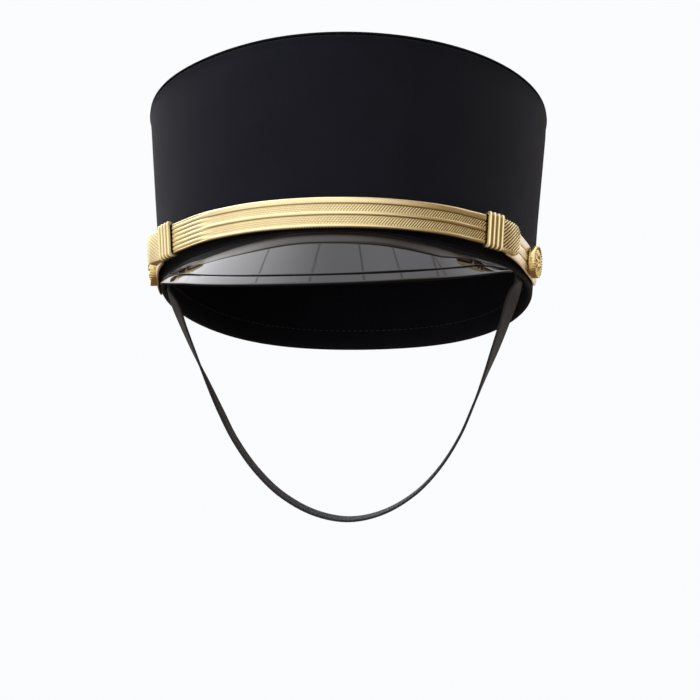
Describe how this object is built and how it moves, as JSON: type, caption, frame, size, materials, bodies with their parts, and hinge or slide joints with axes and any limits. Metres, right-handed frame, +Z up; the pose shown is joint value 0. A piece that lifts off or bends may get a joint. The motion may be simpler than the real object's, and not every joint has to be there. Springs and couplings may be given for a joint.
{
  "type": "kepi cap",
  "caption": "Peaked kepi cap with an oval flared cloth crown, a glossy black peak, a gold front strap on side buttons and an elastic chin strap.",
  "frame": {"origin": "middle of the opening for the head, in the plane of the crown's rim", "axes": "+Z up through the crown, -Y towards the peak, +X to the right of someone who looks at the peak"},
  "size_m": [0.1961, 0.2325, 0.1991],
  "materials": {
    "cloth": "fine matt black-navy wool twill",
    "gloss_black": "high gloss, like patent leather",
    "gold_lace": "gold metallic woven lace with satin ribs",
    "gold_metal": "polished gilt",
    "elastic": "matt black ribbed elastic"
  },
  "bodies": {
    "root": {"crown_side": "cloth", "crown_top": "cloth", "peak": "gloss_black", "front_strap": "gold_lace", "side_strap_left": "gold_lace", "side_strap_right": "gold_lace", "keeper_left": "gold_lace", "keeper_right": "gold_lace", "button_left": "gold_metal", "button_right": "gold_metal", "chin_strap": "elastic"}
  },
  "joints": []
}
